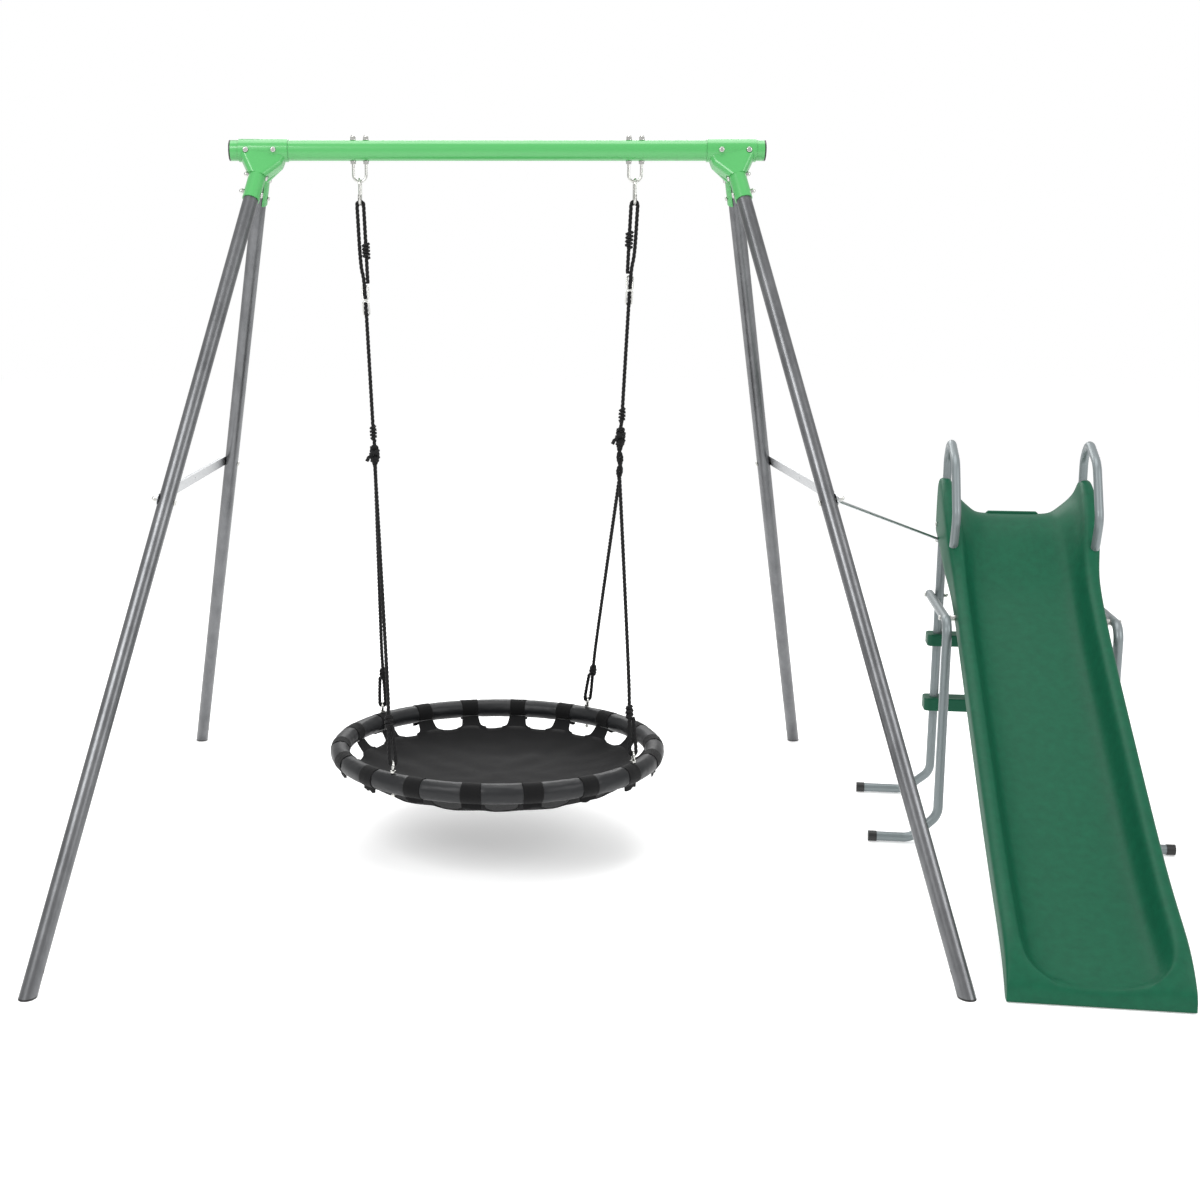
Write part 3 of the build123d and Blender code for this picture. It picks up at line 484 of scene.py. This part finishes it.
def big_knot(side, low, high, above, x_low, x_high):
    """The large knot of one side, with the rope that runs through it and a short cut tail."""
    body = f"{side}_knot"
    middle = (low + high) / 2
    lean = [at(x_low, 0, low), at((x_low + x_high) / 2, 0, middle), at(x_high, 0, high)]
    spine = evenly(lean, PATH_STEP)
    knot = wound(f"vis_{side}_seat_knot", spine, 2.6, KNOT_OUTER, body, 0.5, True, KNOT_ROPE, 0.9)
    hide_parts(f"{side}_seat_knot")
    verts, faces = [], []
    run = [at(x_low, 0, low - 0.004), at(x_high, 0, high), at(x_high + 0.001, 0, above)]
    through = evenly(run, PATH_STEP)
    add_strands(verts, faces, through)
    add_strands(verts, faces, stretch_of(through, 0.0, high - low), radius=KNOT_CORE)
    tail = [
        at(x_low - 0.006, -0.006, middle),
        at(x_low - 0.018, -0.011, middle - 0.010),
        at(x_low - 0.023, -0.012, middle - 0.019),
    ]
    add_strands(verts, faces, evenly(tail, PATH_STEP))
    core = mesh_object(f"vis_{side}_knot_core", verts, faces)
    finish_piece(core, "rope", body)


def paired_ropes(side, x, low, high, turns):
    """The two strands between a large knot and the place where the seat ropes part."""
    spine = evenly([at(x, 0, low), at(x, 0, high)], PATH_STEP)
    wound(f"vis_{side}_twist", spine, turns, TWIST_OUTER, f"{side}_knot", 0.12, True, KNOT_ROPE)


big_knot("left", low=1.150, high=1.199, above=1.217, x_low=-0.357, x_high=-0.3585)
paired_ropes("left", x=-0.357, low=1.1385, high=1.152, turns=0.25)
big_knot("right", low=1.198, high=1.251, above=1.268, x_low=0.357, x_high=0.359)
paired_ropes("right", x=0.357, low=1.1005, high=1.200, turns=1.3)

# The knot on each seat rope lies between these two distances from the end of its tail.
ROPE_KNOT_TOP = 0.258
ROPE_KNOT_FOOT = 0.217

for corner in ("front_left", "back_left", "front_right", "back_right"):
    name = f"{corner}_seat_rope"
    rope, line = twisted_rope(f"vis_{name}", ROUTES[name], name, "seat")
    total = length_of(line)
    knotted = stretch_of(line, total - ROPE_KNOT_TOP, total - ROPE_KNOT_FOOT)
    knot = wound(f"vis_{corner}_rope_knot", knotted, 3.2, 0.0130, "seat", bulge=0.3, crossed=True)
    # the CAD node that holds all four knots is hidden once, with the first knot
    if corner == "front_left":
        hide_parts("seat_rope_knots")


# ---------------------------------------------------------------- nest seat
RIM_R = 0.4715
RIM_Z = 0.292
RIM_TUBE = 0.0285
STRAPS = 18
FIRST = math.radians(41.5)
PITCH = 2 * math.pi / STRAPS
STRAP_HALF = 0.0265
PINCH_DEPTH = 0.0022
PINCH_HALF = 0.024
PUCKER = 0.0008
MAT_EDGE = 0.422
MAT_DROP = 0.050
MAT_SAG = 0.050
MAT_WAVE = 0.0045
MAT_PULL = 0.003
MAT_THICK = 0.0022
FRONT_DROP = 0.013
TAB_RISE = 0.031
TAB_DIP = 0.003
STRAP_THICK = 0.0018
STRAP_LIFT = 0.0009
# a strap starts at this angle round the rim's tube and is wrapped this far round it, in degrees
STRAP_START = 218
STRAP_WRAP = 286
# the share of a strap's length where its loose hem starts, and how far the hem hangs
HEM_START = 0.80
HEM_DROP = 0.012


def strap_offset(angle):
    """How far an angle is from the middle of its nearest strap, from -0.5 to 0.5 of a pitch."""
    turns = (angle - FIRST) / PITCH
    return turns - round(turns)


def on_rim(angle, around, radius):
    """A point on a tube round the rim. around is 0 at the outside and a quarter turn at the top."""
    reach = RIM_R + radius * math.cos(around)
    return at(reach * math.cos(angle), reach * math.sin(angle), RIM_Z + radius * math.sin(around))


def build_rim():
    """The padded rim: full between the straps and drawn in a little where they go round it."""
    columns, rows = STRAPS * 24, 32
    verts = []
    for i in range(columns):
        angle = 2 * math.pi * i / columns
        off = abs(strap_offset(angle)) * PITCH * RIM_R
        pinch = PINCH_DEPTH * math.exp(-((off / PINCH_HALF) ** 4))
        gathered = 1 + 1.5 * math.exp(-(((off - 0.03) / 0.012) ** 2))
        for k in range(rows):
            around = 2 * math.pi * k / rows
            place = Vector((math.cos(angle) * 9, math.sin(angle) * 9, around * 1.2))
            pucker = PUCKER * noise.noise(place * 2.2) * gathered
            verts.append(on_rim(angle, around, RIM_TUBE - pinch + pucker))
    faces = []
    for i in range(columns):
        n = (i + 1) % columns
        for k in range(rows):
            m = (k + 1) % rows
            faces.append((i * rows + k, n * rows + k, n * rows + m, i * rows + m))
    rim = mesh_object("vis_rim_sleeve", verts, faces)
    finish_piece(rim, "rim_vinyl", "seat", "rim_sleeve", "rim_tube")


def front_drop(angle):
    """How much lower the mat's edge hangs towards the front."""
    return -FRONT_DROP * max(0.0, -math.sin(angle))


SAG_POWER = 5


def mat_point(angle, share, edge):
    """A point of the mat: share goes from 0 in the middle to 1 at its edge."""
    radius = edge * share
    sag = -MAT_DROP - MAT_SAG * (1 - (radius / MAT_EDGE) ** SAG_POWER)
    place = Vector((math.cos(angle) * radius * 14, math.sin(angle) * radius * 14, 3.1))
    wave = MAT_WAVE * noise.noise(place)
    sag += front_drop(angle) * share**4
    pull = MAT_PULL * share**6 * math.cos(2 * math.pi * strap_offset(angle))
    return at(radius * math.cos(angle), radius * math.sin(angle), RIM_Z + sag + wave + pull)


def build_mat():
    """The mat with its tabs: one sheet, whose edge runs out to the rim at each strap."""
    per, rings, tab_rows = 36, 26, 14
    columns = STRAPS * per
    verts, faces = [at(0, 0, RIM_Z - MAT_DROP - MAT_SAG)], []
    for r in range(1, rings + 1):
        for i in range(columns):
            angle = FIRST + 2 * math.pi * i / columns
            off = abs(strap_offset(angle))
            edge = MAT_EDGE - 0.002 * math.sin(math.pi * off) ** 2
            verts.append(mat_point(angle, (r / rings) ** 0.9, edge))
    for i in range(columns):
        n = (i + 1) % columns
        faces.append((0, 1 + i, 1 + n))
        for r in range(rings - 1):
            low = 1 + r * columns
            faces.append((low + i, low + columns + i, low + columns + n, low + n))
    last = 1 + (rings - 1) * columns
    reach = 12
    for s in range(STRAPS):
        middle = FIRST + s * PITCH
        previous = [last + (s * per + c) % columns for c in range(-reach, reach + 1)]
        for t in range(1, tab_rows + 1):
            share = (t / tab_rows) ** 1.7
            row = []
            for c in range(-reach, reach + 1):
                side_share = c / reach
                # a tab leaves the mat with small round corners and narrows a little to the strap
                base = reach / per * PITCH * MAT_EDGE
                straight = STRAP_HALF * (1.22 - 0.22 * share)
                wide = straight + (base - straight) * (1 - share) ** 9
                radius = MAT_EDGE + (RIM_R - RIM_TUBE * 0.80 - MAT_EDGE) * share
                angle = middle + side_share * wide / radius
                rise = -MAT_DROP + TAB_RISE * share - TAB_DIP * math.sin(math.pi * share)
                rise += front_drop(angle) * (1 - share)
                ripple = 0.0012 * noise.noise(Vector((s * 3.7 + side_share, share * 3, 0.4)))
                height = RIM_Z + rise + ripple
                verts.append(at(radius * math.cos(angle), radius * math.sin(angle), height))
                row.append(len(verts) - 1)
            for c in range(2 * reach):
                faces.append((previous[c], row[c], row[c + 1], previous[c + 1]))
            previous = row
    mat = mesh_object("vis_seat_mat", verts, faces)
    thick = mat.modifiers.new("cloth", "SOLIDIFY")
    thick.thickness = MAT_THICK
    thick.offset = 0
    return finish_piece(mat, "mat_fabric", "seat", "seat_mat")


def build_straps():
    """A band round the rim at each strap, with its loose hem hanging a little under the rim."""
    verts, faces = [], []
    rows, half = 30, 7
    for s in range(STRAPS):
        middle = FIRST + s * PITCH
        start = len(verts)
        for k in range(rows + 1):
            share = k / rows
            # from the tab on the inner side, over the top and down the outside, to the loose hem
            held = min(1.0, share / HEM_START)
            around = math.radians(STRAP_START - STRAP_WRAP * held)
            loose = max(0.0, share - HEM_START) / (1 - HEM_START)
            for c in range(-half, half + 1):
                side_share = c / half
                wide = STRAP_HALF * (1 + 0.05 * math.sin(s * 2.1 + share * 5))
                ripple = noise.noise(Vector((s * 5.3 + side_share * 1.6, share * 4.0, 1.7)))
                radius = RIM_TUBE + STRAP_LIFT + 0.0005 * ripple + loose * 0.003 * ripple
                point = on_rim(middle + side_share * wide / RIM_R, around, radius)
                point.z -= HEM_DROP * loose * (1 + 0.25 * ripple)
                verts.append(point)
        wide_row = 2 * half + 1
        for k in range(rows):
            for c in range(2 * half):
                a = start + k * wide_row + c
                faces.append((a, a + 1, a + wide_row + 1, a + wide_row))
    straps = mesh_object("vis_seat_straps", verts, faces)
    thick = straps.modifiers.new("cloth", "SOLIDIFY")
    thick.thickness = STRAP_THICK
    thick.offset = 1
    return finish_piece(straps, "strap_webbing", "seat", "seat_straps")


build_rim()
mat = build_mat()
straps = build_straps()


# ---------------------------------------------------------------- slide chute
SLIDE_TURN = math.radians(-8.5)
CHUTE_WALL = 0.005


def on_slide(x, y, z):
    """A point of the slide's own frame."""
    c, s = math.cos(SLIDE_TURN), math.sin(SLIDE_TURN)
    return at(1.5665 + x * c - y * s, -0.075 + x * s + y * c, z)


# Stations down the chute: y, floor height, wall top, lower edge of the skirt, and the half-widths
# of the floor, the wall's top and the flange. The high walls at the back are the ears.
STATIONS = [
    (0.480, 0.949, 1.058, 0.905, 0.128, 0.194, 0.232),
    (0.468, 0.950, 1.062, 0.892, 0.126, 0.193, 0.233),
    (0.436, 0.950, 1.061, 0.884, 0.126, 0.192, 0.233),
    (0.395, 0.944, 1.044, 0.872, 0.128, 0.191, 0.233),
    (0.350, 0.916, 1.018, 0.852, 0.131, 0.188, 0.233),
    (0.305, 0.868, 0.982, 0.832, 0.135, 0.184, 0.232),
    (0.260, 0.818, 0.938, 0.800, 0.138, 0.180, 0.229),
    (0.220, 0.775, 0.880, 0.768, 0.140, 0.176, 0.222),
    (0.170, 0.727, 0.815, 0.730, 0.142, 0.174, 0.214),
    (0.080, 0.661, 0.748, 0.676, 0.142, 0.172, 0.212),
    (-0.060, 0.574, 0.658, 0.590, 0.142, 0.172, 0.211),
    (-0.250, 0.464, 0.547, 0.480, 0.142, 0.172, 0.211),
    (-0.450, 0.351, 0.434, 0.367, 0.142, 0.172, 0.211),
    (-0.640, 0.243, 0.326, 0.260, 0.142, 0.172, 0.211),
    (-0.800, 0.160, 0.240, 0.178, 0.142, 0.172, 0.211),
    (-0.920, 0.107, 0.184, 0.128, 0.143, 0.172, 0.212),
    (-1.000, 0.077, 0.150, 0.092, 0.143, 0.173, 0.213),
    (-1.045, 0.060, 0.126, 0.064, 0.139, 0.172, 0.213),
    (-1.080, 0.050, 0.100, 0.036, 0.122, 0.164, 0.213),
    (-1.102, 0.046, 0.076, 0.012, 0.086, 0.140, 0.213),
    (-1.116, 0.044, 0.058, 0.004, 0.050, 0.110, 0.213),
    (-1.124, 0.040, 0.046, 0.003, 0.040, 0.100, 0.212),
]


def chute_row(y, floor, top, low, floor_half, wall_half, flange_half):
    """The outline across the chute at one station, from the left skirt to the right one."""
    rise = top - floor
    half = [
        (0.0, floor),
        (floor_half * 0.55, floor),
        (floor_half - 0.014, floor + min(0.002, rise * 0.05)),
        (floor_half + 0.006, floor + rise * 0.16),
        (wall_half - 0.010, floor + rise * 0.55),
        (wall_half - 0.001, floor + rise * 0.90),
        (wall_half + 0.008, top),
        ((wall_half + flange_half) / 2, top + 0.001),
        (flange_half - 0.008, top - 0.001),
        (flange_half, top - 0.010 * min(1.0, rise / 0.05)),
        (flange_half, (top + low) / 2),
        (flange_half, low),
    ]
    both = [(-x, z) for x, z in reversed(half[1:])] + half
    return [on_slide(x, y, z) for x, z in both]


def build_chute():
    """One shell swept down the slide, with its back edge and its exit turned down."""
    rows = [chute_row(*station) for station in STATIONS]
    # the back edge is the first row moved a little back, lowered and made half as tall
    platform, lip, set_back = STATIONS[0][1], 0.925, 0.0015
    back = [p + on_slide(0, set_back, 0) - on_slide(0, 0, 0) for p in rows[0]]
    rows.insert(0, [Vector((p.x, p.y, min(p.z, lip + (p.z - platform) * 0.5))) for p in back])
    # the exit is the last row twice more, cut off lower and then just above the ground
    foot = STATIONS[-1]
    for y, ceiling in ((-1.1275, 0.026), (-1.128, 0.003)):
        row = chute_row(y, *foot[1:])
        rows.append([Vector((p.x, p.y, min(p.z, ceiling))) for p in row])
    wide = len(rows[0])
    faces = []
    for r in range(len(rows) - 1):
        for c in range(wide - 1):
            a = r * wide + c
            faces.append((a, a + wide, a + wide + 1, a + 1))
    chute = mesh_object("vis_slide_chute", [p for row in rows for p in row], faces)
    smooth = chute.modifiers.new("smooth", "SUBSURF")
    smooth.levels = 2
    smooth.render_levels = 2
    thick = chute.modifiers.new("wall", "SOLIDIFY")
    thick.thickness = CHUTE_WALL
    thick.offset = -1
    return finish_piece(chute, "slide_plastic", "frame", "slide_chute")


def build_platform_tab():
    """The low moulded tab across the platform's back edge, with sloping ends and soft edges."""
    half_wide, slope = 0.086, 0.012
    front, back = 0.464, 0.481
    low, high = 0.944, 0.957
    outline = [(-half_wide, low), (half_wide, low), (half_wide - slope, high), (slope - half_wide, high)]
    corners = [on_slide(x, y, z) for y in (front, back) for x, z in outline]
    faces = [(3, 2, 1, 0), (4, 5, 6, 7)]
    for i in range(4):
        n = (i + 1) % 4
        faces.append((i, n, n + 4, i + 4))
    tab = mesh_object("vis_platform_tab", corners, faces)
    soft = tab.modifiers.new("soft_edges", "BEVEL")
    soft.width = 0.003
    soft.segments = 4
    return finish_piece(tab, "slide_plastic", "frame")


build_chute()
build_platform_tab()


# ---------------------------------------------------------------- light, floor and camera
def soft_box(name, place, aim, size, watts):
    data = bpy.data.lights.new(name, "AREA")
    data.shape = "RECTANGLE"
    data.size, data.size_y = size
    data.energy = watts
    lamp = bpy.data.objects.new(name, data)
    lamp.location = at(*place)
    lamp.rotation_euler = (at(*aim) - at(*place)).to_track_quat("-Z", "Y").to_euler()
    scene.collection.objects.link(lamp)


soft_box("key_light", place=(-2.6, -3.6, 4.2), aim=(0.4, 0, 0.9), size=(2.6, 2.6), watts=150)
soft_box("fill_light", place=(4.2, -3.0, 3.2), aim=(0.6, 0, 0.8), size=(2.6, 2.6), watts=90)
soft_box("top_light", place=(0.5, 0.6, 5.2), aim=(0.5, 0, 0), size=(4.0, 3.0), watts=110)
soft_box("back_light", place=(0.2, 4.2, 3.4), aim=(0.3, 0, 1.2), size=(3.0, 2.0), watts=70)

OBJECT_LIGHT = 0.72
SEEN_WHITE = 1.0
world = bpy.data.worlds.new("studio")
scene.world = world
world.use_nodes = True
# the object is lit a little more softly than the white that the camera sees behind it
backdrop = world.node_tree.nodes["Background"]
backdrop.inputs["Color"].default_value = (1.0, 1.0, 1.0, 1.0)
seen = world.node_tree.nodes.new("ShaderNodeLightPath")
level = world.node_tree.nodes.new("ShaderNodeMapRange")
level.inputs["To Min"].default_value = OBJECT_LIGHT
level.inputs["To Max"].default_value = SEEN_WHITE
world.node_tree.links.new(seen.outputs["Is Camera Ray"], level.inputs["Value"])
world.node_tree.links.new(level.outputs["Result"], backdrop.inputs["Strength"])

# the floor lies just under the feet
FLOOR_HALF = 30
FLOOR_Z = -0.001
FLOOR_GLOW = 0.34
floor_corners = [
    (x * FLOOR_HALF, y * FLOOR_HALF, FLOOR_Z) for x, y in ((-1, -1), (1, -1), (1, 1), (-1, 1))
]
floor = mesh_object("studio_floor", floor_corners, [(0, 1, 2, 3)], smooth=False)
floor_paint = Paint("studio_floor", (0.92, 0.92, 0.92, 1.0), roughness=0.9, specular=0.1)
floor_paint.set("Emission Color", (1.0, 1.0, 1.0, 1.0))
floor_paint.set("Emission Strength", FLOOR_GLOW)
floor.data.materials.append(floor_paint.material)

CAMERA_PLACE = (0.0018, -4.663, 1.610)
CAMERA_DIP = 0.184
camera_data = bpy.data.cameras.new("camera")
camera_data.sensor_width = 36
camera_data.lens = 48
camera_data.shift_x = 0.085
camera_data.clip_end = 100
camera = bpy.data.objects.new("camera", camera_data)
camera.location = at(*CAMERA_PLACE)
camera.rotation_euler = (math.radians(90) - CAMERA_DIP, 0, 0)
scene.collection.objects.link(camera)
scene.camera = camera
scene.view_settings.view_transform = "Standard"
